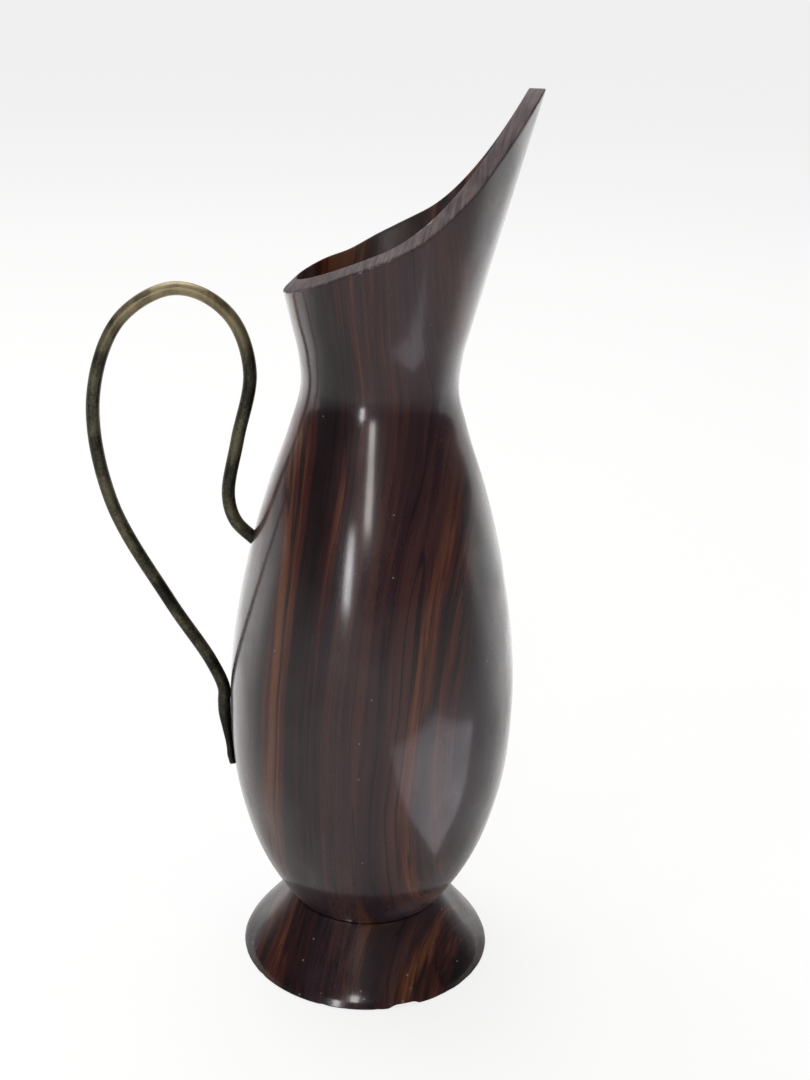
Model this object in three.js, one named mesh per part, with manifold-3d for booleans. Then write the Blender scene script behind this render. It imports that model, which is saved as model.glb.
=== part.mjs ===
// A turned wooden jug: a vessel with a swept spout, a separate turned foot and a bent brass handle.
// Millimetres, +Z up. The origin is the centre of the foot's flat underside, on the turning axis.
// The handle stands on the -X side and the spout points towards +X.

import * as THREE from 'three';
import { mergeVertices } from 'three/addons/utils/BufferGeometryUtils.js';
import Module from 'manifold-3d';

const wasm = await Module();
wasm.setup();

// Vessel, outside: radius and height at the places that give the turned outline
const creaseRadius = 26.3;
const lowerBellyRadius = 34.6;
const lowerBellyHeight = 36;
const belowBellyRadius = 44.5;
const belowBellyHeight = 65;
const bellyRadius = 47.2;
const bellyHeight = 97;
const shoulderRadius = 41.3;
const shoulderHeight = 145;
const upperShoulderRadius = 34.8;
const upperShoulderHeight = 170;
const aboveShoulderRadius = 28;
const aboveShoulderHeight = 190;
const waistRadius = 24.7;
const waistHeight = 203.5;
const aboveWaistRadius = 25.5;
const aboveWaistHeight = 213;
const throatRadius = 28.4;
const throatHeight = 225;
const mouthRadius = 46.6;
const mouthHeight = 296;

// Vessel, inside
const bellyWall = 9;
const waistWall = 7;
const rimWall = 5;
const floorThickness = 9;
const floorFillet = 14;

// Rim: a cut that climbs gently from the handle side and then sweeps up into the spout
const rimLowHeight = 232.4;
const rimSlope = 0.449;
const sweepStart = 8;
const spoutHeight = 294.2;
const rimLean = 5;
const spoutTurn = THREE.MathUtils.degToRad(-7);

// Foot
const footHeight = 22.5;
const footRadius = 42.9;
const footCornerRadius = 41.6;
const footCornerHeight = 3.2;
const footFlankRadius = 34.6;
const footFlankHeight = 12;
const footEdge = 0.6;
const spigotRadius = 18;
const spigotLength = 9.5;
const spigotChamfer = 1;

// Handle: a round rod, let into the shoulder at its upper end and hammered flat at its lower end
const rodRadius = 2.2;
const entryHeight = 151.3;
const entryAngle = THREE.MathUtils.degToRad(38);
const rodPlunge = 7;
const tabThickness = 2.3;
const tabWidth = 6.6;
const tabEndHeight = 68.6;
const flattenStart = 90;
const flattenEnd = 76;
const contactHeight = 97;

// The rod's middle between its two ends: height, and distance out from the wood at that height
const handleBends = [
  { height: 157, reach: 6.9 },
  { height: 165.5, reach: 11.4 },
  { height: 184, reach: 14.6 },
  { height: 206, reach: 15.8 },
  { height: 222.2, reach: 17.8 },
  { height: 230.4, reach: 26 },
  { height: 231.2, reach: 36.4 },
  { height: 220.8, reach: 53.9 },
  { height: 196, reach: 63.4 },
  { height: 162.7, reach: 48.2 },
  { height: 128.4, reach: 22.8 },
  { height: 107, reach: 7 },
];

// Pin that holds the flattened end to the belly
const pinHeight = 72.6;
const pinRadius = 0.8;
const pinHeadRadius = 1.8;
const pinHeadHeight = 1;
const pinDepth = 5.5;
const pinPoint = 1.2;

// Fits
const seatGap = 0.3;
const socketEndGap = 0.5;

// Numbers that shape a curve: how steeply the belly starts, how square the tab's section is
const creaseSteepness = 1.15;
const roundSection = 1;
const tabSection = 0.55;
const tabTipRoundness = 0.97;

// Facets
const turnSteps = 72;
const rodSides = 14;
const rodSteps = 92;
const drillSides = 20;

const vesselBottom = footHeight + seatGap;
const socketTop = footHeight + spigotLength + socketEndGap;
const floorTop = socketTop + floorThickness;

const outlineStations = [
  [vesselBottom, creaseRadius],
  [lowerBellyHeight, lowerBellyRadius],
  [belowBellyHeight, belowBellyRadius],
  [bellyHeight, bellyRadius],
  [shoulderHeight, shoulderRadius],
  [upperShoulderHeight, upperShoulderRadius],
  [aboveShoulderHeight, aboveShoulderRadius],
  [waistHeight, waistRadius],
  [aboveWaistHeight, aboveWaistRadius],
  [throatHeight, throatRadius],
  [mouthHeight, mouthRadius],
];

// Slope of the outline at one station, from the slopes on both sides weighted by their lengths
function stationSlope(index) {
  const last = outlineStations.length - 1;
  const before = Math.max(index - 1, 0);
  const after = Math.min(index + 1, last);
  const [heightBefore, radiusBefore] = outlineStations[before];
  const [height, radius] = outlineStations[index];
  const [heightAfter, radiusAfter] = outlineStations[after];
  if (before === index) return creaseSteepness * (radiusAfter - radius) / (heightAfter - height);
  if (after === index) return (radius - radiusBefore) / (height - heightBefore);
  const slopeBefore = (radius - radiusBefore) / (height - heightBefore);
  const slopeAfter = (radiusAfter - radius) / (heightAfter - height);
  const reachBefore = height - heightBefore;
  const reachAfter = heightAfter - height;
  return (slopeBefore * reachAfter + slopeAfter * reachBefore) / (reachBefore + reachAfter);
}

// Outside radius of the vessel at a height: a smooth curve through the stations
function radiusAt(height) {
  let index = 0;
  while (index < outlineStations.length - 2 && height > outlineStations[index + 1][0]) {
    index += 1;
  }
  const [lowHeight, lowRadius] = outlineStations[index];
  const [highHeight, highRadius] = outlineStations[index + 1];
  const span = highHeight - lowHeight;
  const t = (height - lowHeight) / span;
  const lowSlope = stationSlope(index) * span;
  const highSlope = stationSlope(index + 1) * span;
  const fromLow = lowRadius * (2 * t ** 3 - 3 * t ** 2 + 1) + lowSlope * (t ** 3 - 2 * t ** 2 + t);
  const fromHigh = highRadius * (3 * t ** 2 - 2 * t ** 3) + highSlope * (t ** 3 - t ** 2);
  return fromLow + fromHigh;
}

// How much the outside radius grows for each millimetre of height
function outlineSlope(height) {
  return radiusAt(height + 0.5) - radiusAt(height - 0.5);
}

function wallAt(height) {
  if (height <= waistHeight) {
    const climb = THREE.MathUtils.smoothstep(height, bellyHeight, waistHeight);
    return THREE.MathUtils.lerp(bellyWall, waistWall, climb);
  }
  const climb = THREE.MathUtils.smoothstep(height, waistHeight, rimLowHeight);
  return THREE.MathUtils.lerp(waistWall, rimWall, climb);
}

function innerRadiusAt(height) {
  return radiusAt(height) - wallAt(height);
}

// Height of the rim cut, seen from the side, at a distance across the mouth towards the spout
function rimCut(across) {
  const lowEnd = -radiusAt(rimLowHeight);
  const spoutEnd = radiusAt(spoutHeight);
  const straightRise = rimSlope * (spoutEnd - lowEnd);
  const sweep = (spoutHeight - rimLowHeight - straightRise) / (spoutEnd - sweepStart) ** 2;
  return rimLowHeight + rimSlope * (across - lowEnd) + sweep * Math.max(0, across - sweepStart) ** 2;
}

// Height where the rim's outer or inner edge lies at one direction round the mouth
function rimEdgeHeight(direction, radiusOf, lean) {
  const towardsSpout = Math.cos(direction - spoutTurn);
  let height = rimLowHeight;
  for (let step = 0; step < 80; step += 1) {
    height = 0.5 * (height + rimCut(radiusOf(height) * towardsSpout + lean));
  }
  return Math.min(height, spoutHeight);
}

function ringPoints(radiusAndHeightOf) {
  const points = [];
  for (let step = 0; step < turnSteps; step += 1) {
    const direction = 2 * Math.PI * step / turnSteps;
    const [radius, height] = radiusAndHeightOf(direction);
    points.push(new THREE.Vector3(radius * Math.cos(direction), radius * Math.sin(direction), height));
  }
  return points;
}

// A closed skin through a row of rings with equal numbers of points, closed by a fan at each end
function skinRings(rings, startCentre, endCentre) {
  const positions = [];
  const faces = [];
  const count = rings[0].length;
  rings.flat().forEach((point) => positions.push(point.x, point.y, point.z));
  positions.push(startCentre.x, startCentre.y, startCentre.z);
  positions.push(endCentre.x, endCentre.y, endCentre.z);
  const startIndex = rings.length * count;
  const endIndex = startIndex + 1;
  const lastRing = (rings.length - 1) * count;
  for (let side = 0; side < count; side += 1) {
    const next = (side + 1) % count;
    faces.push(startIndex, next, side);
    faces.push(endIndex, lastRing + side, lastRing + next);
    for (let ring = 0; ring < rings.length - 1; ring += 1) {
      const here = ring * count;
      const above = here + count;
      faces.push(here + side, here + next, above + next);
      faces.push(here + side, above + next, above + side);
    }
  }
  const geometry = new THREE.BufferGeometry();
  geometry.setAttribute('position', new THREE.Float32BufferAttribute(positions, 3));
  geometry.setIndex(faces);
  return geometry;
}

function toSolid(geometry) {
  const bare = geometry.clone();
  bare.deleteAttribute('normal');
  bare.deleteAttribute('uv');
  const merged = mergeVertices(bare, 1e-4);
  return new wasm.Manifold(new wasm.Mesh({
    numProp: 3,
    vertProperties: new Float32Array(merged.attributes.position.array),
    triVerts: new Uint32Array(merged.index.array),
  }));
}

function toGeometry(solid) {
  const mesh = solid.getMesh();
  const geometry = new THREE.BufferGeometry();
  geometry.setAttribute('position', new THREE.Float32BufferAttribute(mesh.vertProperties, 3));
  geometry.setIndex(Array.from(mesh.triVerts));
  return geometry;
}

// A direction in the handle's plane, from the horizontal towards +X, turned upwards by an angle
function inHandlePlane(angle) {
  return new THREE.Vector3(Math.cos(angle), 0, Math.sin(angle));
}

// Geometry made along +Z is laid along a direction, with its origin on a point
function layAlong(geometry, point, direction) {
  const turn = new THREE.Quaternion().setFromUnitVectors(new THREE.Vector3(0, 0, 1), direction);
  return geometry.applyQuaternion(turn).translate(point.x, point.y, point.z);
}

function drill(radius, from, to, point, direction) {
  const cylinder = new THREE.CylinderGeometry(radius, radius, to - from, drillSides);
  cylinder.rotateX(Math.PI / 2).translate(0, 0, (from + to) / 2);
  return layAlong(cylinder, point, direction);
}

const entryPoint = new THREE.Vector3(-radiusAt(entryHeight), 0, entryHeight);
const entryDirection = inHandlePlane(-entryAngle);
const pinSeat = new THREE.Vector3(-radiusAt(pinHeight), 0, pinHeight);
const pinDirection = new THREE.Vector3(-1, 0, -outlineSlope(pinHeight)).normalize();

function makeVesselBody() {
  const rings = [];
  const socketRadius = spigotRadius + seatGap;
  rings.push(ringPoints(() => [socketRadius, socketTop]));
  rings.push(ringPoints(() => [socketRadius, vesselBottom]));

  const bodySteps = 15;
  for (let step = 0; step <= bodySteps; step += 1) {
    const height = THREE.MathUtils.lerp(vesselBottom, waistHeight, step / bodySteps);
    rings.push(ringPoints(() => [radiusAt(height), height]));
  }
  const neckSteps = 7;
  for (let step = 1; step <= neckSteps; step += 1) {
    rings.push(ringPoints((direction) => {
      const edge = rimEdgeHeight(direction, radiusAt, 0);
      const height = THREE.MathUtils.lerp(waistHeight, edge, step / neckSteps);
      return [radiusAt(height), height];
    }));
  }
  for (let step = 0; step <= neckSteps; step += 1) {
    rings.push(ringPoints((direction) => {
      const edge = rimEdgeHeight(direction, innerRadiusAt, rimLean);
      const height = THREE.MathUtils.lerp(edge, waistHeight, step / neckSteps);
      return [innerRadiusAt(height), height];
    }));
  }
  const filletTop = floorTop + floorFillet;
  const hollowSteps = 10;
  for (let step = 1; step <= hollowSteps; step += 1) {
    const height = THREE.MathUtils.lerp(waistHeight, filletTop, step / hollowSteps);
    rings.push(ringPoints(() => [innerRadiusAt(height), height]));
  }
  const filletSteps = 3;
  for (let step = 1; step <= filletSteps; step += 1) {
    const angle = Math.PI / 2 * step / filletSteps;
    const radius = innerRadiusAt(filletTop) - floorFillet * (1 - Math.cos(angle));
    const height = filletTop - floorFillet * Math.sin(angle);
    rings.push(ringPoints(() => [radius, height]));
  }
  const blank = toSolid(skinRings(
    rings,
    new THREE.Vector3(0, 0, socketTop),
    new THREE.Vector3(0, 0, floorTop),
  ));

  const rodHole = drill(rodRadius + seatGap, -3 * rodRadius, rodPlunge + seatGap, entryPoint, entryDirection);
  const pinHole = drill(pinRadius + seatGap, -pinDepth - seatGap, pinDepth, pinSeat, pinDirection);
  return toGeometry(blank.subtract(toSolid(rodHole)).subtract(toSolid(pinHole)));
}

function makeFoot() {
  const flank = new THREE.SplineCurve([
    new THREE.Vector2(footRadius, footEdge),
    new THREE.Vector2(footCornerRadius, footCornerHeight),
    new THREE.Vector2(footFlankRadius, footFlankHeight),
    new THREE.Vector2(creaseRadius, footHeight),
  ]);
  const spigotTop = footHeight + spigotLength;
  const profile = [
    new THREE.Vector2(0, 0),
    new THREE.Vector2(footRadius - footEdge, 0),
    ...flank.getPoints(8),
    new THREE.Vector2(spigotRadius, footHeight),
    new THREE.Vector2(spigotRadius, spigotTop - spigotChamfer),
    new THREE.Vector2(spigotRadius - spigotChamfer, spigotTop),
    new THREE.Vector2(0, spigotTop),
  ];
  return new THREE.LatheGeometry(profile, turnSteps).rotateX(Math.PI / 2);
}

// How far the rod is hammered flat at a height on its lower end: 0 is round, 1 is the full tab
function flatness(height) {
  return 1 - THREE.MathUtils.smoothstep(height, flattenEnd, flattenStart);
}

function halfThickness(height) {
  return THREE.MathUtils.lerp(rodRadius, tabThickness / 2, flatness(height));
}

function besideWood(height, reach) {
  return new THREE.Vector3(-radiusAt(height) - reach, 0, height);
}

function handleRoute() {
  const points = [
    entryPoint.clone().addScaledVector(entryDirection, rodPlunge),
    entryPoint.clone(),
    ...handleBends.map((bend) => besideWood(bend.height, bend.reach)),
  ];
  const contactSteps = 6;
  for (let step = 0; step <= contactSteps; step += 1) {
    const height = THREE.MathUtils.lerp(contactHeight, tabEndHeight, step / contactSteps);
    points.push(besideWood(height, seatGap + halfThickness(height)));
  }
  return new THREE.CatmullRomCurve3(points, false, 'centripetal');
}

function makeHandle() {
  const route = handleRoute();
  const length = route.getLength();
  const rings = [];
  for (let step = 0; step <= rodSteps; step += 1) {
    const along = step / rodSteps;
    const centre = route.getPointAt(along);
    const forward = route.getTangentAt(along);
    const sideways = new THREE.Vector3(forward.z, 0, -forward.x);
    const onLowerEnd = along > 0.5;
    const flat = onLowerEnd ? flatness(centre.z) : 0;
    const squareness = THREE.MathUtils.lerp(roundSection, tabSection, flat);
    const thickness = onLowerEnd ? halfThickness(centre.z) : rodRadius;
    const toEnd = (1 - along) * length;
    const tipShare = Math.max(0, 1 - toEnd / (tabWidth / 2));
    const roundEnd = Math.sqrt(1 - tabTipRoundness * tipShare ** 2);
    const width = THREE.MathUtils.lerp(rodRadius, tabWidth / 2, flat) * roundEnd;
    const ring = [];
    for (let side = 0; side < rodSides; side += 1) {
      const angle = 2 * Math.PI * side / rodSides;
      const across = Math.sign(Math.cos(angle)) * Math.abs(Math.cos(angle)) ** squareness * thickness;
      const wide = Math.sign(Math.sin(angle)) * Math.abs(Math.sin(angle)) ** squareness * width;
      ring.push(centre.clone().addScaledVector(sideways, across).add(new THREE.Vector3(0, wide, 0)));
    }
    rings.push(ring);
  }
  const rod = toSolid(skinRings(rings, route.getPointAt(0), route.getPointAt(1)));

  const tabOuterFace = seatGap + tabThickness;
  const hole = drill(pinRadius + seatGap, -tabThickness, 3 * tabThickness, pinSeat, pinDirection);
  const sinkDepth = pinHeadHeight + seatGap;
  const sinkRise = tabThickness;
  const sinkWidening = (pinHeadRadius - pinRadius) * sinkRise / pinHeadHeight;
  const countersink = new THREE.CylinderGeometry(
    pinHeadRadius + seatGap + sinkWidening,
    pinRadius + seatGap,
    sinkDepth + sinkRise,
    drillSides,
  );
  countersink.rotateX(Math.PI / 2).translate(0, 0, tabOuterFace + (sinkRise - sinkDepth) / 2);
  layAlong(countersink, pinSeat, pinDirection);
  return toGeometry(rod.subtract(toSolid(hole)).subtract(toSolid(countersink)));
}

function makePin() {
  const headTop = seatGap + tabThickness;
  const profile = [
    new THREE.Vector2(0, -pinDepth),
    new THREE.Vector2(pinRadius, -pinDepth + pinPoint),
    new THREE.Vector2(pinRadius, headTop - pinHeadHeight),
    new THREE.Vector2(pinHeadRadius, headTop),
    new THREE.Vector2(0, headTop),
  ];
  const pin = new THREE.LatheGeometry(profile, drillSides).rotateX(Math.PI / 2);
  return layAlong(pin, pinSeat, pinDirection);
}

const rosewood = { color: 0x2c1216, roughness: 0.22, metalness: 0 };
const footWood = { color: 0x33181b, roughness: 0.3, metalness: 0 };
const tarnishedBrass = { color: 0x2e2c22, roughness: 0.42, metalness: 0.85 };

function addPiece(group, name, geometry, finish) {
  const mesh = new THREE.Mesh(geometry, new THREE.MeshStandardMaterial(finish));
  mesh.name = name;
  group.add(mesh);
}

const jug = new THREE.Group();
addPiece(jug, 'vessel_body', makeVesselBody(), rosewood);
addPiece(jug, 'foot', makeFoot(), footWood);
addPiece(jug, 'handle_rod', makeHandle(), tarnishedBrass);
addPiece(jug, 'handle_pin', makePin(), tarnishedBrass);

export default jug;
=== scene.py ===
import math
import bpy
from mathutils import Matrix, Vector, kdtree, noise


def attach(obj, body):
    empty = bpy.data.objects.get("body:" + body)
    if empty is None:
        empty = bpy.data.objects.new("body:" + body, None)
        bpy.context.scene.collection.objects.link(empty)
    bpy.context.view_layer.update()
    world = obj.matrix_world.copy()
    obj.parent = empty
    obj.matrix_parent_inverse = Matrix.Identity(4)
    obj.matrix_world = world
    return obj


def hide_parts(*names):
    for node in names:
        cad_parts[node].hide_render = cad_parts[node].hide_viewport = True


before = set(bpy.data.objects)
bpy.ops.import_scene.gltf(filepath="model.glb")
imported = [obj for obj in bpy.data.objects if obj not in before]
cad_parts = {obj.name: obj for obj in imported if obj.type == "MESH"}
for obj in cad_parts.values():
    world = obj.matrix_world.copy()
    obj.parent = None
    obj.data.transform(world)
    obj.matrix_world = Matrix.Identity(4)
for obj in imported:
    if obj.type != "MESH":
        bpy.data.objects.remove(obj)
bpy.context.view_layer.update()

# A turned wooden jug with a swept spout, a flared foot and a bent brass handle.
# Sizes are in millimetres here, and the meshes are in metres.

mm = 0.001

vessel = {
    # height and radius of the turned outline
    "outline": [
        (22.8, 26.3), (36, 34.6), (65, 44.5), (97, 47.15), (145, 41.3), (170, 34.8),
        (190, 28), (203.5, 24.7), (213, 25.5), (225, 28.4), (296, 46.6),
    ],
    "creaseSteepness": 1.15,
    "waistHeight": 203.5,
    "bellyHeight": 97,
    "bellyWall": 9,
    "waistWall": 7,
    "rimWall": 5,
    "floorHeight": 41.5,
    "floorFillet": 14,
    "socketRadius": 18.3,
    "socketTop": 32.5,
    "rimLowHeight": 232.4,
    "rimSlope": 0.449,
    "sweepStart": 8,
    "spoutHeight": 294.2,
    "bluntTop": 294.0,
    "rimLean": 5,
    "spoutTurn": math.radians(-7),
    "turnSteps": 288,
    "edgeRound": 0.45,
    # bites out of the rim's outer edge: how deep, and how closely they follow each other
    "nibble": 0.9,
    "nibblesRound": 17,
    "fineNibbles": 2.4,
    # far side of the rim: direction, width and height of its rise and of its dip
    "swell": (math.radians(72), math.radians(11), 0.6),
    "dip": (math.radians(112), math.radians(15), 1.0),
    # places that only guide the mesh, and how many rings each stretch of it has
    "rimGuide": 250,
    "seatRing": 22,
    "floorRing": 9,
    "skinDepth": 2,
    "rings": {"belly": 78, "neck": 38, "rim": 6, "neckInside": 26, "bellyInside": 34, "fillet": 8},
}

foot = {
    "height": 22.5,
    "creaseRadius": 26.3,
    "radius": 42.9,
    "edge": 0.6,
    "cornerRadius": 41.6,
    "cornerHeight": 3.2,
    "flankRadius": 34.6,
    "flankHeight": 12,
    "spigotRadius": 18,
    "spigotTop": 32,
    "chipDirection": math.radians(-71),
    "chipWidth": math.radians(8),
    "chipRise": 1.1,
    "dentDepth": 0.35,
    "dentsRound": 14,
    # the lower edge that gets knocked: how high it reaches, and from which radius out
    "wornHeight": 4,
    "wornFrom": 38,
    "wornFull": 42,
    # rings of the flat underside
    "underside": (0, 20, 36, 40, 41.4),
    "seatRing": 22,
    "flankRings": 36,
    "edgeRound": 0.3,
    "turnSteps": 288,
}

handle = {
    "rodRadius": 2.17,
    "entryHeight": 151.3,
    "entryAngle": math.radians(38),
    "plunge": 7,
    # height of the rod's middle, and how far it stands out from the wood there
    "bends": [
        (157, 6.9), (165.5, 11.4), (184, 14.6), (206, 15.8), (222.2, 17.8), (230.4, 26),
        (231.2, 36.4), (220.8, 53.9), (196, 63.4), (162.7, 48.2), (128.4, 22.8), (107, 7),
    ],
    "contactHeight": 97,
    "tabEndHeight": 68.6,
    "tabThickness": 2.3,
    "tabWidth": 6.6,
    "flattenStart": 90,
    "flattenEnd": 76,
    "tabSquareness": 0.55,
    "gap": 0.3,
    "unevenness": 0.012,
    "edgeRound": 0.3,
    "steps": 420,
}

pin = {"height": 72.6, "radius": 0.8, "headRadius": 1.8, "depth": 5.5, "dome": 0.3, "turnSteps": 48}


def stationSlope(index):
    stations = vessel["outline"]
    before = stations[max(index - 1, 0)]
    here = stations[index]
    after = stations[min(index + 1, len(stations) - 1)]
    if before is here:
        return vessel["creaseSteepness"] * (after[1] - here[1]) / (after[0] - here[0])
    if after is here:
        return (here[1] - before[1]) / (here[0] - before[0])
    reachBefore = here[0] - before[0]
    reachAfter = after[0] - here[0]
    slopeBefore = (here[1] - before[1]) / reachBefore
    slopeAfter = (after[1] - here[1]) / reachAfter
    return (slopeBefore * reachAfter + slopeAfter * reachBefore) / (reachBefore + reachAfter)


stationSlopes = [stationSlope(index) for index in range(len(vessel["outline"]))]


def radiusAt(height):
    stations = vessel["outline"]
    index = 0
    while index < len(stations) - 2 and height > stations[index + 1][0]:
        index += 1
    low, high = stations[index], stations[index + 1]
    span = high[0] - low[0]
    t = (height - low[0]) / span
    fromLow = low[1] * (2 * t**3 - 3 * t**2 + 1) + stationSlopes[index] * span * (t**3 - 2 * t**2 + t)
    fromHigh = high[1] * (3 * t**2 - 2 * t**3) + stationSlopes[index + 1] * span * (t**3 - t**2)
    return fromLow + fromHigh


def smoothStep(value, low, high):
    t = min(1, max(0, (value - low) / (high - low)))
    return t * t * (3 - 2 * t)


def mixNumbers(start, end, share):
    return start + (end - start) * share


def innerRadiusAt(height):
    if height <= vessel["waistHeight"]:
        share = smoothStep(height, vessel["bellyHeight"], vessel["waistHeight"])
        return radiusAt(height) - mixNumbers(vessel["bellyWall"], vessel["waistWall"], share)
    share = smoothStep(height, vessel["waistHeight"], vessel["rimLowHeight"])
    return radiusAt(height) - mixNumbers(vessel["waistWall"], vessel["rimWall"], share)


def spreadOut(start, end, steps):
    return [mixNumbers(start, end, step / steps) for step in range(steps + 1)]


# Select one piece alone, as an operator acts on all that is selected
def pick(piece):
    bpy.ops.object.select_all(action="DESELECT")
    piece.select_set(True)
    bpy.context.view_layer.objects.active = piece


# Draw half a section by extruding one vertex, then spin it round the axis
def spinProfile(name, points, steps):
    bpy.ops.object.select_all(action="DESELECT")
    bpy.ops.mesh.primitive_plane_add(size=0.01, location=(0, 0, 0))
    piece = bpy.context.object
    piece.name = name
    bpy.ops.object.mode_set(mode="EDIT")
    bpy.ops.mesh.select_all(action="SELECT")
    bpy.ops.mesh.merge(type="CENTER")
    reached = Vector((0, 0, 0))
    for number, (radius, height) in enumerate(points):
        target = Vector((radius * mm, 0, height * mm))
        step = tuple(target - reached)
        if number == 0:
            bpy.ops.transform.translate(value=step)
        else:
            bpy.ops.mesh.extrude_vertices_move(TRANSFORM_OT_translate={"value": step})
        reached = target
    bpy.ops.mesh.select_all(action="SELECT")
    bpy.ops.mesh.spin(steps=steps, angle=2 * math.pi, center=(0, 0, 0), axis=(0, 0, 1))
    bpy.ops.mesh.select_all(action="SELECT")
    bpy.ops.mesh.remove_doubles(threshold=0.000005)
    bpy.ops.mesh.normals_make_consistent(inside=False)
    bpy.ops.object.mode_set(mode="OBJECT")
    return piece


def roundEdges(piece, width, fromAngle):
    pick(piece)
    bevel = piece.modifiers.new("roundedEdges", "BEVEL")
    bevel.width = width * mm
    bevel.segments = 3
    bevel.limit_method = "ANGLE"
    bevel.angle_limit = math.radians(fromAngle)
    bpy.ops.object.modifier_apply(modifier=bevel.name)


def shadeSmooth(piece, angle):
    pick(piece)
    bpy.ops.object.shade_smooth_by_angle(angle=math.radians(angle))


# Rim: seen from the side, a cut that climbs gently and then sweeps up into the spout
def rimCut(across):
    shadedLowEnd = -radiusAt(vessel["rimLowHeight"])
    spoutEnd = radiusAt(vessel["spoutHeight"])
    rise = vessel["spoutHeight"] - vessel["rimLowHeight"]
    straightRise = vessel["rimSlope"] * (spoutEnd - shadedLowEnd)
    sweep = (rise - straightRise) / (spoutEnd - vessel["sweepStart"]) ** 2
    past = max(0, across - vessel["sweepStart"])
    return vessel["rimLowHeight"] + vessel["rimSlope"] * (across - shadedLowEnd) + sweep * past**2


# The rim was cut by hand, so the far side dips and rises a little
def rimWander(direction):
    wander = 0
    for sign, (middle, width, height) in ((1, vessel["swell"]), (-1, vessel["dip"])):
        wander += sign * height * math.exp(-((direction - middle) / width) ** 2)
    return wander


def rimEdge(direction, radiusOf, lean):
    towardsSpout = math.cos(direction - vessel["spoutTurn"])
    height = vessel["rimLowHeight"]
    for step in range(60):
        height = 0.5 * (height + rimCut(radiusOf(height) * towardsSpout + lean))
    return min(height + rimWander(direction), vessel["bluntTop"])


def nibbleAt(direction):
    spread = vessel["nibblesRound"]
    place = Vector((math.cos(direction) * spread, math.sin(direction) * spread, 2.3))
    fine = noise.noise(place * vessel["fineNibbles"])
    return vessel["nibble"] * max(0, noise.noise(place) + 0.35 * fine - 0.05)


def makeVessel():
    waist = vessel["waistHeight"]
    base = vessel["outline"][0][0]
    rimGuide = vessel["rimGuide"]
    rings = vessel["rings"]
    filletTop = vessel["floorHeight"] + vessel["floorFillet"]
    points = [(0, vessel["socketTop"]), (vessel["socketRadius"], vessel["socketTop"])]
    points += [(vessel["socketRadius"], base), (vessel["seatRing"], base)]
    points += [(radiusAt(height), height) for height in spreadOut(base, waist, rings["belly"])]
    points += [(radiusAt(height), height) for height in spreadOut(waist, rimGuide, rings["neck"])[1:]]
    rimRadii = spreadOut(radiusAt(rimGuide), innerRadiusAt(rimGuide), rings["rim"])[1:]
    points += [(radius, rimGuide) for radius in rimRadii]
    insideHeights = spreadOut(rimGuide, waist, rings["neckInside"])[1:]
    insideHeights += spreadOut(waist, filletTop, rings["bellyInside"])[1:]
    points += [(innerRadiusAt(height), height) for height in insideHeights]
    for angle in spreadOut(0, math.pi / 2, rings["fillet"])[1:]:
        radius = innerRadiusAt(filletTop) - vessel["floorFillet"] * (1 - math.cos(angle))
        points.append((radius, filletTop - vessel["floorFillet"] * math.sin(angle)))
    points += [(vessel["floorRing"], vessel["floorHeight"]), (0, vessel["floorHeight"])]
    piece = spinProfile("vesselTurned", points, vessel["turnSteps"])

    # slot 0 is the polished outside, 1 the inside, 2 the bare cut of the rim
    for face in piece.data.polygons:
        height = face.center.z / mm
        radius = math.hypot(face.center.x, face.center.y) / mm
        if height > rimGuide - 0.05:
            face.material_index = 2
        elif radius < radiusAt(height) - vessel["skinDepth"]:
            face.material_index = 1

    # lift each line of the neck to the rim's height in its own direction
    stepAngle = 2 * math.pi / vessel["turnSteps"]
    edges = {}
    for vertex in piece.data.vertices:
        height = vertex.co.z / mm
        if height <= waist + 0.01:
            continue
        radius = math.hypot(vertex.co.x, vertex.co.y) / mm
        direction = math.atan2(vertex.co.y, vertex.co.x)
        line = round(direction / stepAngle)
        if line not in edges:
            outerEdge = rimEdge(direction, radiusAt, 0) - nibbleAt(direction)
            edges[line] = (outerEdge, rimEdge(direction, innerRadiusAt, vessel["rimLean"]))
        outerEdge, innerEdge = edges[line]
        share = (radiusAt(height) - radius) / (radiusAt(height) - innerRadiusAt(height))
        climb = (height - waist) / (rimGuide - waist)
        outerHeight = mixNumbers(waist, outerEdge, climb)
        innerHeight = mixNumbers(waist, innerEdge, climb)
        newRadius = mixNumbers(radiusAt(outerHeight), innerRadiusAt(innerHeight), share)
        newHeight = mixNumbers(outerHeight, innerHeight, share)
        vertex.co.x = newRadius * math.cos(direction) * mm
        vertex.co.y = newRadius * math.sin(direction) * mm
        vertex.co.z = newHeight * mm
    roundEdges(piece, vessel["edgeRound"], 35)
    shadeSmooth(piece, 40)
    print("vessel turned and its rim cut:", len(piece.data.polygons), "faces")
    return piece


# Points on a smooth line through a few given ones, evenly spread in number
def smoothThrough(points, steps):
    ends = [2 * points[0] - points[1]] + points + [2 * points[-1] - points[-2]]
    line = []
    spans = len(points) - 1
    for step in range(steps + 1):
        place = min(step / steps * spans, spans - 0.000001)
        number = int(place)
        a, b, c, d = ends[number:number + 4]
        knots = [0]
        for start, end in ((a, b), (b, c), (c, d)):
            knots.append(knots[-1] + max((end - start).length, 0.0001) ** 0.5)
        t = mixNumbers(knots[1], knots[2], place - number)

        def between(first, second, low, high):
            reach = knots[high] - knots[low]
            return first * ((knots[high] - t) / reach) + second * ((t - knots[low]) / reach)

        ab, bc, cd = between(a, b, 0, 1), between(b, c, 1, 2), between(c, d, 2, 3)
        line.append(between(between(ab, bc, 0, 2), between(bc, cd, 1, 3), 1, 2))
    return line


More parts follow.
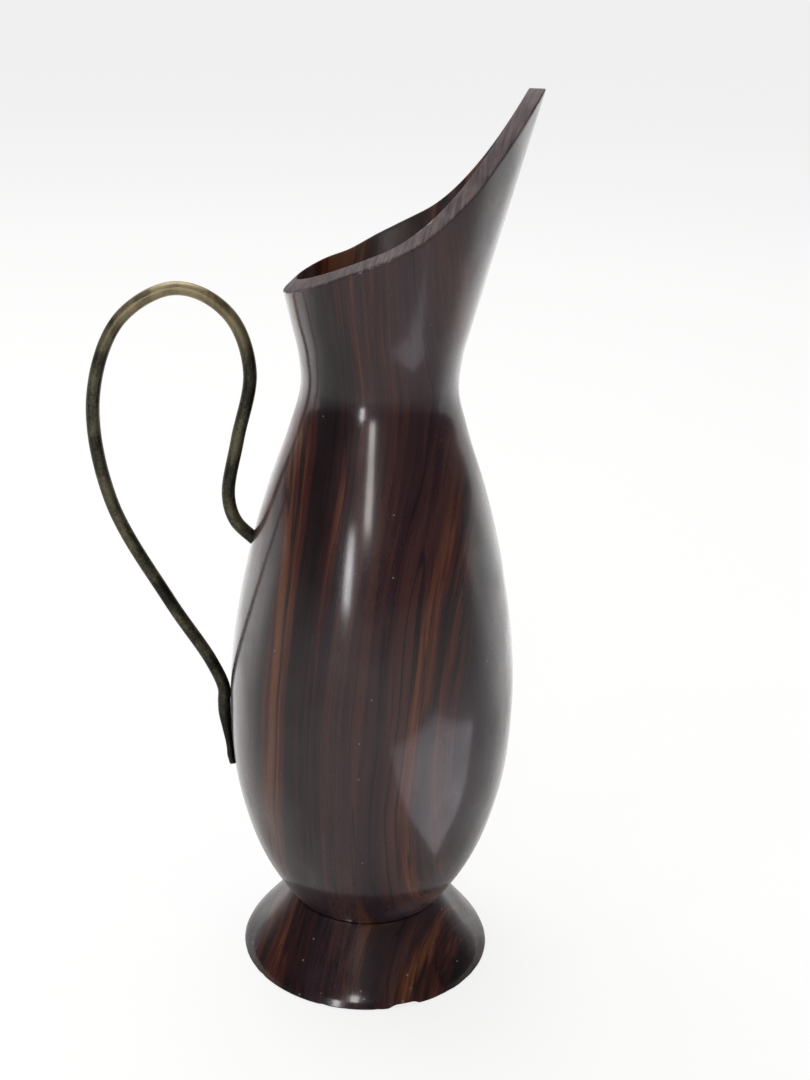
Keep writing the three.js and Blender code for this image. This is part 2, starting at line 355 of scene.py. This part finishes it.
def makeFoot():
    flank = smoothThrough([
        Vector((foot["radius"], 0, foot["edge"])),
        Vector((foot["cornerRadius"], 0, foot["cornerHeight"])),
        Vector((foot["flankRadius"], 0, foot["flankHeight"])),
        Vector((foot["creaseRadius"], 0, foot["height"])),
    ], foot["flankRings"])
    points = [(radius, 0) for radius in foot["underside"]]
    points.append((foot["radius"] - foot["edge"], 0))
    points += [(point.x, point.z) for point in flank]
    points += [(foot["seatRing"], foot["height"]), (foot["spigotRadius"], foot["height"])]
    points += [(foot["spigotRadius"], foot["spigotTop"] - 1), (foot["spigotRadius"] - 1, foot["spigotTop"])]
    points += [(0, foot["spigotTop"])]
    piece = spinProfile("footTurned", points, foot["turnSteps"])

    # a chip knocked out of the lower edge at the front, and smaller dents round it
    for vertex in piece.data.vertices:
        height = vertex.co.z / mm
        radius = math.hypot(vertex.co.x, vertex.co.y) / mm
        if height > foot["wornHeight"] or radius < foot["wornFrom"]:
            continue
        direction = math.atan2(vertex.co.y, vertex.co.x)
        apart = (direction - foot["chipDirection"]) / foot["chipWidth"]
        chip = foot["chipRise"] * smoothStep(1 - abs(apart) ** 1.5, 0, 0.7)
        spread = foot["dentsRound"]
        place = Vector((math.cos(direction) * spread, math.sin(direction) * spread, 7.1))
        dent = foot["dentDepth"] * max(0, noise.noise(place) - 0.15)
        nearEdge = (1 - height / foot["wornHeight"]) * smoothStep(radius, foot["wornFrom"], foot["wornFull"])
        vertex.co.z += (chip + dent) * nearEdge * mm
        inwards = 1 - (0.25 * chip + 0.3 * dent) * nearEdge / radius
        vertex.co.x *= inwards
        vertex.co.y *= inwards
    roundEdges(piece, foot["edgeRound"], 30)
    shadeSmooth(piece, 40)
    print("foot turned:", len(piece.data.polygons), "faces")
    return piece


def besideWood(height, reach):
    return Vector((-radiusAt(height) - reach, 0, height)) * mm


def flatness(height):
    return 1 - smoothStep(height, handle["flattenEnd"], handle["flattenStart"])


def halfThickness(height):
    return mixNumbers(handle["rodRadius"], handle["tabThickness"] / 2, flatness(height))


def makeHandle():
    entry = besideWood(handle["entryHeight"], 0)
    inwards = Vector((math.cos(handle["entryAngle"]), 0, -math.sin(handle["entryAngle"])))
    points = [entry + inwards * handle["plunge"] * mm, entry]
    points += [besideWood(height, reach) for height, reach in handle["bends"]]
    for height in spreadOut(handle["contactHeight"], handle["tabEndHeight"], 6):
        points.append(besideWood(height, handle["gap"] + halfThickness(height)))
    route = smoothThrough(points, handle["steps"])

    bpy.ops.object.select_all(action="DESELECT")
    rod = bpy.data.curves.new("handleBent", "CURVE")
    rod.dimensions = "3D"
    rod.bevel_depth = handle["rodRadius"] * mm
    rod.bevel_resolution = 7
    rod.use_fill_caps = True
    spline = rod.splines.new("POLY")
    spline.points.add(len(route) - 1)
    for number, place in enumerate(route):
        spline.points[number].co = (place.x, place.y, place.z, 1)
    piece = bpy.data.objects.new("handleBent", rod)
    bpy.context.collection.objects.link(piece)
    pick(piece)
    bpy.ops.object.convert(target="MESH")
    piece = bpy.context.object
    bpy.ops.object.mode_set(mode="EDIT")
    bpy.ops.mesh.select_all(action="SELECT")
    bpy.ops.mesh.remove_doubles(threshold=0.000002)
    bpy.ops.mesh.normals_make_consistent(inside=False)
    bpy.ops.object.mode_set(mode="OBJECT")

    # hammer the lower end flat, and leave the rest faintly uneven as hand-bent rod is
    finder = kdtree.KDTree(len(route))
    for number, place in enumerate(route):
        finder.insert(place, number)
    finder.balance()
    tabEnd = route[-1]
    halfway = len(route) // 2
    for vertex in piece.data.vertices:
        number = finder.find(vertex.co)[1]
        centre = route[number]
        forward = (route[min(number + 1, len(route) - 1)] - route[max(number - 1, 0)]).normalized()
        sideways = Vector((forward.z, 0, -forward.x))
        offset = vertex.co - centre
        across = offset.dot(sideways) / (handle["rodRadius"] * mm)
        wide = offset.y / (handle["rodRadius"] * mm)
        uneven = 1 + handle["unevenness"] * noise.noise(centre * 60) - handle["unevenness"]
        height = centre.z / mm
        flat = flatness(height) if number > halfway else 0
        power = mixNumbers(1, handle["tabSquareness"], flat)
        thickness = halfThickness(height) if number > halfway else handle["rodRadius"]
        toEnd = (tabEnd - centre).length / mm
        tip = max(0, 1 - toEnd / (handle["tabWidth"] / 2))
        width = mixNumbers(handle["rodRadius"], handle["tabWidth"] / 2, flat) * math.sqrt(1 - 0.97 * tip**2)
        newAcross = math.copysign(abs(across) ** power, across) * thickness * uneven * mm
        newWide = math.copysign(abs(wide) ** power, wide) * width * uneven * mm
        vertex.co = centre + sideways * newAcross + Vector((0, newWide, 0)) + forward * offset.dot(forward)
    roundEdges(piece, handle["edgeRound"], 50)
    shadeSmooth(piece, 45)
    print("handle bent and its end flattened:", len(piece.data.polygons), "faces")
    return piece


def makePin():
    top = handle["gap"] + handle["tabThickness"]
    points = [(0, -pin["depth"]), (pin["radius"], 1.2 - pin["depth"]), (pin["radius"], top - 1)]
    points.append((pin["headRadius"], top - 0.1))
    for share in spreadOut(0, 1, 6):
        angle = share * math.pi / 2
        points.append((pin["headRadius"] * math.cos(angle), top + pin["dome"] * math.sin(angle)))
    points[-1] = (0, top + pin["dome"])
    piece = spinProfile("pinDriven", points, pin["turnSteps"])
    slope = radiusAt(pin["height"] + 0.5) - radiusAt(pin["height"] - 0.5)
    outwards = Vector((-1, 0, -slope)).normalized()
    turned = outwards.to_track_quat("Z", "Y").to_matrix().to_4x4()
    piece.data.transform(Matrix.Translation(besideWood(pin["height"], 0)) @ turned)
    shadeSmooth(piece, 40)
    print("pin driven through the flattened end")
    return piece


# Shader maths as Python sums: a Wire is an output socket
class Wire:
    def __init__(self, sheet, socket):
        self.sheet = sheet
        self.socket = socket

    def join(self, operation, first, second):
        return self.sheet.node("ShaderNodeMath", {"operation": operation}, {0: first, 1: second})

    def __add__(self, other):
        return self.join("ADD", self, other)

    def __radd__(self, other):
        return self.join("ADD", other, self)

    def __sub__(self, other):
        return self.join("SUBTRACT", self, other)

    def __rsub__(self, other):
        return self.join("SUBTRACT", other, self)

    def __mul__(self, other):
        return self.join("MULTIPLY", self, other)

    def __rmul__(self, other):
        return self.join("MULTIPLY", other, self)

    def __abs__(self):
        return self.join("ABSOLUTE", self, 0.0)


class Sheet:
    def __init__(self, tree):
        self.tree = tree
        tree.nodes.clear()

    # any node: its settings first, then the values or wires of its sockets
    def node(self, kind, settings, sockets, output=0):
        made = self.tree.nodes.new(kind)
        for name, value in settings.items():
            if name == "stops":
                self.fillRamp(made.color_ramp, value)
            else:
                setattr(made, name, value)
        for name, value in sockets.items():
            if isinstance(value, Wire):
                self.tree.links.new(value.socket, made.inputs[name])
            else:
                made.inputs[name].default_value = value
        if len(made.outputs) > 0:
            return Wire(self, made.outputs[output])

    def fillRamp(self, ramp, stops):
        while len(ramp.elements) < len(stops):
            ramp.elements.new(1)
        for element, (place, colour) in zip(ramp.elements, stops):
            element.position = place
            element.color = colour

    def scaled(self, vector, scale):
        return self.node("ShaderNodeVectorMath", {"operation": "MULTIPLY"}, {0: vector, 1: scale})

    def noise(self, vector, detail=2.0):
        return self.node("ShaderNodeTexNoise", {}, {"Vector": vector, "Scale": 1.0, "Detail": detail})

    def soften(self, value, low, high, start=0.0, end=1.0):
        return self.node("ShaderNodeMapRange", {"interpolation_type": "SMOOTHSTEP"}, {
            "Value": value, "From Min": low, "From Max": high, "To Min": start, "To Max": end,
        })

    def mixColour(self, share, first, second):
        return self.node("ShaderNodeMix", {"data_type": "RGBA"}, {0: share, 6: first, 7: second}, 2)

    def ramp(self, value, stops):
        return self.node("ShaderNodeValToRGB", {"stops": stops}, {"Fac": value})

    def millimetres(self, turn=(0.0, 0.0, 0.0)):
        place = self.node("ShaderNodeTexCoord", {}, {}, "Object")
        return self.node("ShaderNodeMapping", {}, {
            "Vector": place, "Rotation": turn, "Scale": (1000.0, 1000.0, 1000.0),
        })

    def specks(self, place, spacing, size):
        near = self.node("ShaderNodeTexVoronoi", {}, {
            "Vector": self.scaled(place, (1 / spacing,) * 3), "Scale": 1.0,
        }, "Distance")
        return self.soften(near, 0.6 * size / spacing, size / spacing, 1.0, 0.0)

    def bump(self, height, strength, distance):
        return self.node("ShaderNodeBump", {}, {
            "Height": height, "Strength": strength, "Distance": distance * mm,
        })

    def finish(self, sockets):
        surface = self.node("ShaderNodeBsdfPrincipled", {}, sockets)
        self.node("ShaderNodeOutputMaterial", {}, {"Surface": surface})


grain = {
    "turn": (math.radians(0.8), math.radians(-0.6), math.radians(20)),
    "black": (0.0060, 0.0030, 0.0050, 1),
    "deepRed": (0.0200, 0.0046, 0.0056, 1),
    "red": (0.0400, 0.0082, 0.0074, 1),
    "brown": (0.0700, 0.0180, 0.0090, 1),
    "orange": (0.1300, 0.0430, 0.0170, 1),
    "purple": (0.0200, 0.0090, 0.0165, 1),
    "dust": (0.30, 0.27, 0.25, 1),
}


def newMaterial(name):
    material = bpy.data.materials.new(name)
    material.use_nodes = True
    return material, Sheet(material.node_tree)


# Streaks of the block: flat layers on edge, long up the jug and swaying a little
def layStreaks(sheet):
    place = sheet.millimetres(grain["turn"])
    sway = sheet.noise(sheet.scaled(place, (1 / 40, 1 / 60, 1 / 130)), 1.0) * 14.0 - 7.0
    ripple = sheet.noise(sheet.scaled(place, (1 / 9, 1 / 14, 1 / 34)), 1.0) * 1.6 - 0.8
    shift = sheet.node("ShaderNodeCombineXYZ", {}, {"X": sway + ripple})
    moved = sheet.node("ShaderNodeVectorMath", {"operation": "ADD"}, {0: place, 1: shift})

    def streak(width, depth, length, detail):
        return sheet.noise(sheet.scaled(moved, (1 / width, 1 / depth, 1 / length)), detail)

    return streak


def woodColour(sheet, streak):
    broad = streak(8.5, 60, 420, 1.0)
    medium = streak(2.3, 24, 170, 2.0)
    fine = streak(0.62, 8, 64, 2.0)
    tone = sheet.soften(broad * 0.48 + medium * 0.32 + fine * 0.2, 0.37, 0.64)
    colour = sheet.ramp(tone, [
        (0.0, grain["black"]), (0.28, grain["deepRed"]), (0.56, grain["red"]),
        (0.80, grain["brown"]), (1.0, grain["orange"]),
    ])
    purple = sheet.soften(streak(15, 80, 600, 1.0), 0.48, 0.62) * 0.7
    colour = sheet.mixColour(purple, colour, grain["purple"])
    vein = sheet.soften(abs(streak(5.5, 46, 380, 2.0) - 0.5), 0.0, 0.024, 0.8, 0.0)
    return sheet.mixColour(vein, colour, grain["black"])


def makeLacqueredWood(name, speckSpacing, speckSize, worn):
    material, sheet = newMaterial(name)
    streak = layStreaks(sheet)
    colour = woodColour(sheet, streak)
    place = sheet.millimetres()
    pores = sheet.soften(streak(0.2, 0.5, 5, 1.0), 0.62, 0.72)
    hair = streak(0.24, 1.6, 26, 1.0)
    colour = sheet.mixColour(pores * 0.45, colour, grain["black"])

    # darker round the hole where the rod goes in
    entry = besideWood(handle["entryHeight"], 0) / mm
    fromEntry = sheet.node("ShaderNodeVectorMath", {"operation": "DISTANCE"}, {0: place, 1: tuple(entry)}, 1)
    colour = sheet.mixColour(sheet.soften(fromEntry, 2.4, 6.0, 0.8, 0.0), colour, grain["black"])

    specks = sheet.specks(place, speckSpacing, speckSize)
    colour = sheet.mixColour(specks * 0.55, colour, grain["dust"])
    edges = sheet.node("ShaderNodeNewGeometry", {}, {}, "Pointiness")
    rubbed = sheet.soften(edges, 0.53, 0.60) * worn
    colour = sheet.mixColour(rubbed, colour, grain["orange"])

    smears = sheet.noise(sheet.scaled(place, (1 / 16, 1 / 16, 1 / 30)), 3.0)
    roughness = sheet.soften(smears, 0.35, 0.7, 0.24, 0.42) + pores * 0.15
    turning = sheet.noise(sheet.scaled(place, (0.0, 0.0, 1 / 0.8)), 1.0)
    relief = hair * 0.25 - pores * 0.8 + turning * 0.22 + specks * 0.8
    sheet.finish({
        "Base Color": colour,
        "Roughness": roughness,
        "Normal": sheet.bump(relief, 0.22, 0.12),
        "Coat Weight": sheet.soften(smears, 0.3, 0.75, 0.95, 0.6),
        "Coat Roughness": 0.13,
        "Specular IOR Level": 0.3,
    })
    return material


# Inside the neck: the same wood, drier and less carefully finished
def makeInsideWood():
    material, sheet = newMaterial("woodInside")
    streak = layStreaks(sheet)
    colour = woodColour(sheet, streak)
    place = sheet.millimetres()
    dry = sheet.noise(sheet.scaled(place, (1 / 5, 1 / 5, 1 / 22)), 3.0)
    colour = sheet.mixColour(sheet.soften(dry, 0.4, 0.7) * 0.5, colour, (0.075, 0.045, 0.036, 1))
    turning = sheet.noise(sheet.scaled(place, (0.0, 0.0, 1 / 0.5)), 1.0)
    sheet.finish({
        "Base Color": colour,
        "Roughness": sheet.soften(dry, 0.3, 0.7, 0.4, 0.6),
        "Normal": sheet.bump(turning + streak(0.24, 1.6, 26, 1.0) * 0.6, 0.3, 0.15),
        "Coat Weight": 0.25,
        "Coat Roughness": 0.3,
    })
    return material


# The rim's cut face: sanded, never polished, so it is pale and grey beside the lacquer
def makeCutWood():
    material, sheet = newMaterial("woodCut")
    streak = layStreaks(sheet)
    place = sheet.millimetres()
    fine = streak(0.5, 6, 30, 2.0)
    patch = sheet.noise(sheet.scaled(place, (1 / 7, 1 / 7, 1 / 7)), 3.0)
    colour = sheet.ramp(sheet.soften(fine * 0.5 + patch * 0.5, 0.36, 0.66), [
        (0.0, (0.050, 0.034, 0.038, 1)), (0.5, (0.092, 0.068, 0.074, 1)), (1.0, (0.140, 0.102, 0.098, 1)),
    ])
    # the rim's rounded edges are painted paler: a painted highlight where they catch the light
    edges = sheet.node("ShaderNodeNewGeometry", {}, {}, "Pointiness")
    colour = sheet.mixColour(sheet.soften(edges, 0.54, 0.62) * 0.7, colour, (0.30, 0.24, 0.23, 1))
    marks = sheet.noise(sheet.scaled(place, (1 / 0.4, 1 / 3, 1 / 3)), 1.0)
    sheet.finish({
        "Base Color": colour,
        "Roughness": sheet.soften(patch, 0.3, 0.7, 0.48, 0.66),
        "Normal": sheet.bump(marks + fine * 0.5, 0.35, 0.12),
        "Specular IOR Level": 0.35,
    })
    return material


def makeTarnishedBrass():
    material, sheet = newMaterial("brassTarnished")
    place = sheet.millimetres()
    height = sheet.node("ShaderNodeSeparateXYZ", {}, {"Vector": place}, "Z")
    blotches = sheet.noise(sheet.scaled(place, (1 / 6, 1 / 6, 1 / 9)), 4.0)
    grime = sheet.noise(sheet.scaled(place, (1 / 0.9,) * 3), 2.0)
    colour = sheet.ramp(sheet.soften(blotches * 0.7 + grime * 0.3, 0.36, 0.66), [
        (0.0, (0.030, 0.028, 0.021, 1)), (0.55, (0.085, 0.079, 0.055, 1)), (1.0, (0.165, 0.150, 0.098, 1)),
    ])
    # paler brass on top of the arch: partly worn bright where it is held, partly a painted highlight where
    # light falls from above
    heldWearAndTopHighlight = sheet.soften(height, 206.0, 232.0) * sheet.soften(blotches, 0.3, 0.55, 0.35, 0.8)
    colour = sheet.mixColour(heldWearAndTopHighlight, colour, (0.42, 0.35, 0.21, 1))
    # the lower end of the rod, under the belly, is painted near black: painted shade
    shadedLowEnd = sheet.soften(height, 78.0, 112.0, 0.75, 0.0)
    colour = sheet.mixColour(shadedLowEnd, colour, (0.018, 0.018, 0.016, 1))
    sheet.finish({
        "Base Color": colour,
        "Metallic": 0.85,
        "Roughness": sheet.soften(blotches, 0.3, 0.7, 0.34, 0.52) + grime * 0.06,
        "Normal": sheet.bump(grime + blotches, 0.25, 0.08),
    })
    return material


def dress(piece, materials, node):
    for material in materials:
        piece.data.materials.append(material)
    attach(piece, "root")
    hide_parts(node)


lacquer = makeLacqueredWood("rosewoodLacquered", 9.0, 0.35, 0.25)
footLacquer = makeLacqueredWood("rosewoodFoot", 4.2, 0.42, 0.5)
brass = makeTarnishedBrass()
print("materials mixed")

dress(makeVessel(), [lacquer, makeInsideWood(), makeCutWood()], "vessel_body")
dress(makeFoot(), [footLacquer], "foot")
dress(makeHandle(), [brass], "handle_rod")
dress(makePin(), [brass], "handle_pin")

studio = {
    "floorSize": 60,
    "cameraPlace": (0, -0.4712, 0.3297),
    "pitch": math.radians(20.70),
    "yaw": math.radians(1.15),
    "roll": math.radians(1.91),
    "lens": 51.83,
    # name: place, what it points at, width and height, watts, colour
    "lamps": {
        "softTop": ((-0.35, 0.55, 1.7), (0, 0, 0.15), (1.4, 1.4), 20, (1, 0.98, 0.96)),
        "windowLeft": ((-0.15, -1.03, 0.54), (0, 0, 0.18), (0.13, 0.30), 1.5, (1, 0.97, 0.93)),
        "windowLow": ((-0.43, -1.01, 0.26), (0, 0, 0.16), (0.11, 0.24), 1.1, (0.95, 0.97, 1)),
        "ceilingCool": ((-0.77, -0.50, 1.31), (0, 0, 0.02), (0.13, 0.13), 1.1, (0.85, 0.95, 1)),
        "ceilingPlain": ((-0.54, -0.74, 1.31), (0, 0, 0.02), (0.12, 0.12), 1.0, (0.97, 0.95, 1)),
        "ceilingWarm": ((0.54, -0.74, 1.31), (0, 0, 0.02), (0.13, 0.13), 1.1, (1, 0.70, 0.25)),
        "bounceRight": ((0.16, -0.14, 0.004), (0.16, -0.14, 0.5), (0.20, 0.20), 0.16, (0.95, 0.92, 1)),
    },
}


def hangLamp(name, place, target, size, power, colour):
    lamp = bpy.data.lights.new(name, "AREA")
    lamp.shape = "RECTANGLE"
    lamp.size, lamp.size_y = size
    lamp.energy = power
    lamp.color = colour
    hung = bpy.data.objects.new(name, lamp)
    hung.location = place
    hung.rotation_euler = (Vector(target) - Vector(place)).to_track_quat("-Z", "Y").to_euler()
    hung.visible_camera = False
    bpy.context.collection.objects.link(hung)


# Pale floor: near white to the camera and in reflections behind the jug, with a soft shadow
def layFloor():
    bpy.ops.object.select_all(action="DESELECT")
    bpy.ops.mesh.primitive_plane_add(size=studio["floorSize"], location=(0, 0, 0))
    floor = bpy.context.object
    floor.name = "floor"
    material, sheet = newMaterial("floorPale")
    seen = sheet.node("ShaderNodeLightPath", {}, {}, "Is Camera Ray")
    mirrored = sheet.node("ShaderNodeLightPath", {}, {}, "Is Glossy Ray")
    place = sheet.node("ShaderNodeTexCoord", {}, {}, "Object")
    back = sheet.node("ShaderNodeSeparateXYZ", {}, {"Vector": place}, "Y")
    glow = seen * 0.78 + mirrored * sheet.soften(back, -0.03, 0.22, 0.05, 0.7)
    paint = sheet.node("ShaderNodeBsdfDiffuse", {}, {
        "Color": sheet.mixColour(seen, (0.5, 0.5, 0.5, 1), (0.22, 0.22, 0.22, 1)),
    })
    light = sheet.node("ShaderNodeEmission", {}, {"Color": (1, 1, 1, 1), "Strength": glow})
    both = sheet.node("ShaderNodeAddShader", {}, {0: paint, 1: light})
    sheet.node("ShaderNodeOutputMaterial", {}, {"Surface": both})
    floor.data.materials.append(material)


# Room: white to the camera, pale behind the jug and dim in front of it, as its gloss shows
def paintRoom():
    world = bpy.data.worlds.new("room")
    bpy.context.scene.world = world
    world.use_nodes = True
    sheet = Sheet(world.node_tree)
    seen = sheet.node("ShaderNodeLightPath", {}, {}, "Is Camera Ray")
    mirrored = sheet.node("ShaderNodeLightPath", {}, {}, "Is Glossy Ray")
    way = sheet.node("ShaderNodeTexCoord", {}, {}, "Generated")
    back = sheet.node("ShaderNodeSeparateXYZ", {}, {"Vector": way}, "Y")
    mirror = sheet.soften(back, 0.35, 0.9, 0.06, 0.8)
    strength = seen + (1.0 - seen) * (mirrored * mirror + (1.0 - mirrored) * 0.42)
    surface = sheet.node("ShaderNodeBackground", {}, {"Color": (1, 1, 1, 1), "Strength": strength})
    sheet.node("ShaderNodeOutputWorld", {}, {"Surface": surface})


def placeCamera():
    pitch, yaw, roll = studio["pitch"], studio["yaw"], studio["roll"]
    forward = Vector((math.sin(yaw) * math.cos(pitch), math.cos(yaw) * math.cos(pitch), -math.sin(pitch)))
    right = forward.cross(Vector((0, 0, 1))).normalized()
    up = right.cross(forward)
    leanRight = right * math.cos(roll) + up * math.sin(roll)
    leanUp = up * math.cos(roll) - right * math.sin(roll)
    view = bpy.data.cameras.new("camera")
    view.sensor_fit = "VERTICAL"
    view.sensor_height = 36
    view.lens = studio["lens"]
    view.clip_start = 0.02
    view.clip_end = 200
    camera = bpy.data.objects.new("camera", view)
    turned = Matrix((leanRight, leanUp, -forward)).transposed().to_4x4()
    camera.matrix_world = Matrix.Translation(studio["cameraPlace"]) @ turned
    bpy.context.collection.objects.link(camera)
    bpy.context.scene.camera = camera


for name, settings in studio["lamps"].items():
    hangLamp(name, *settings)
layFloor()
paintRoom()
placeCamera()
bpy.context.scene.view_settings.view_transform = "Standard"
print("studio lit")
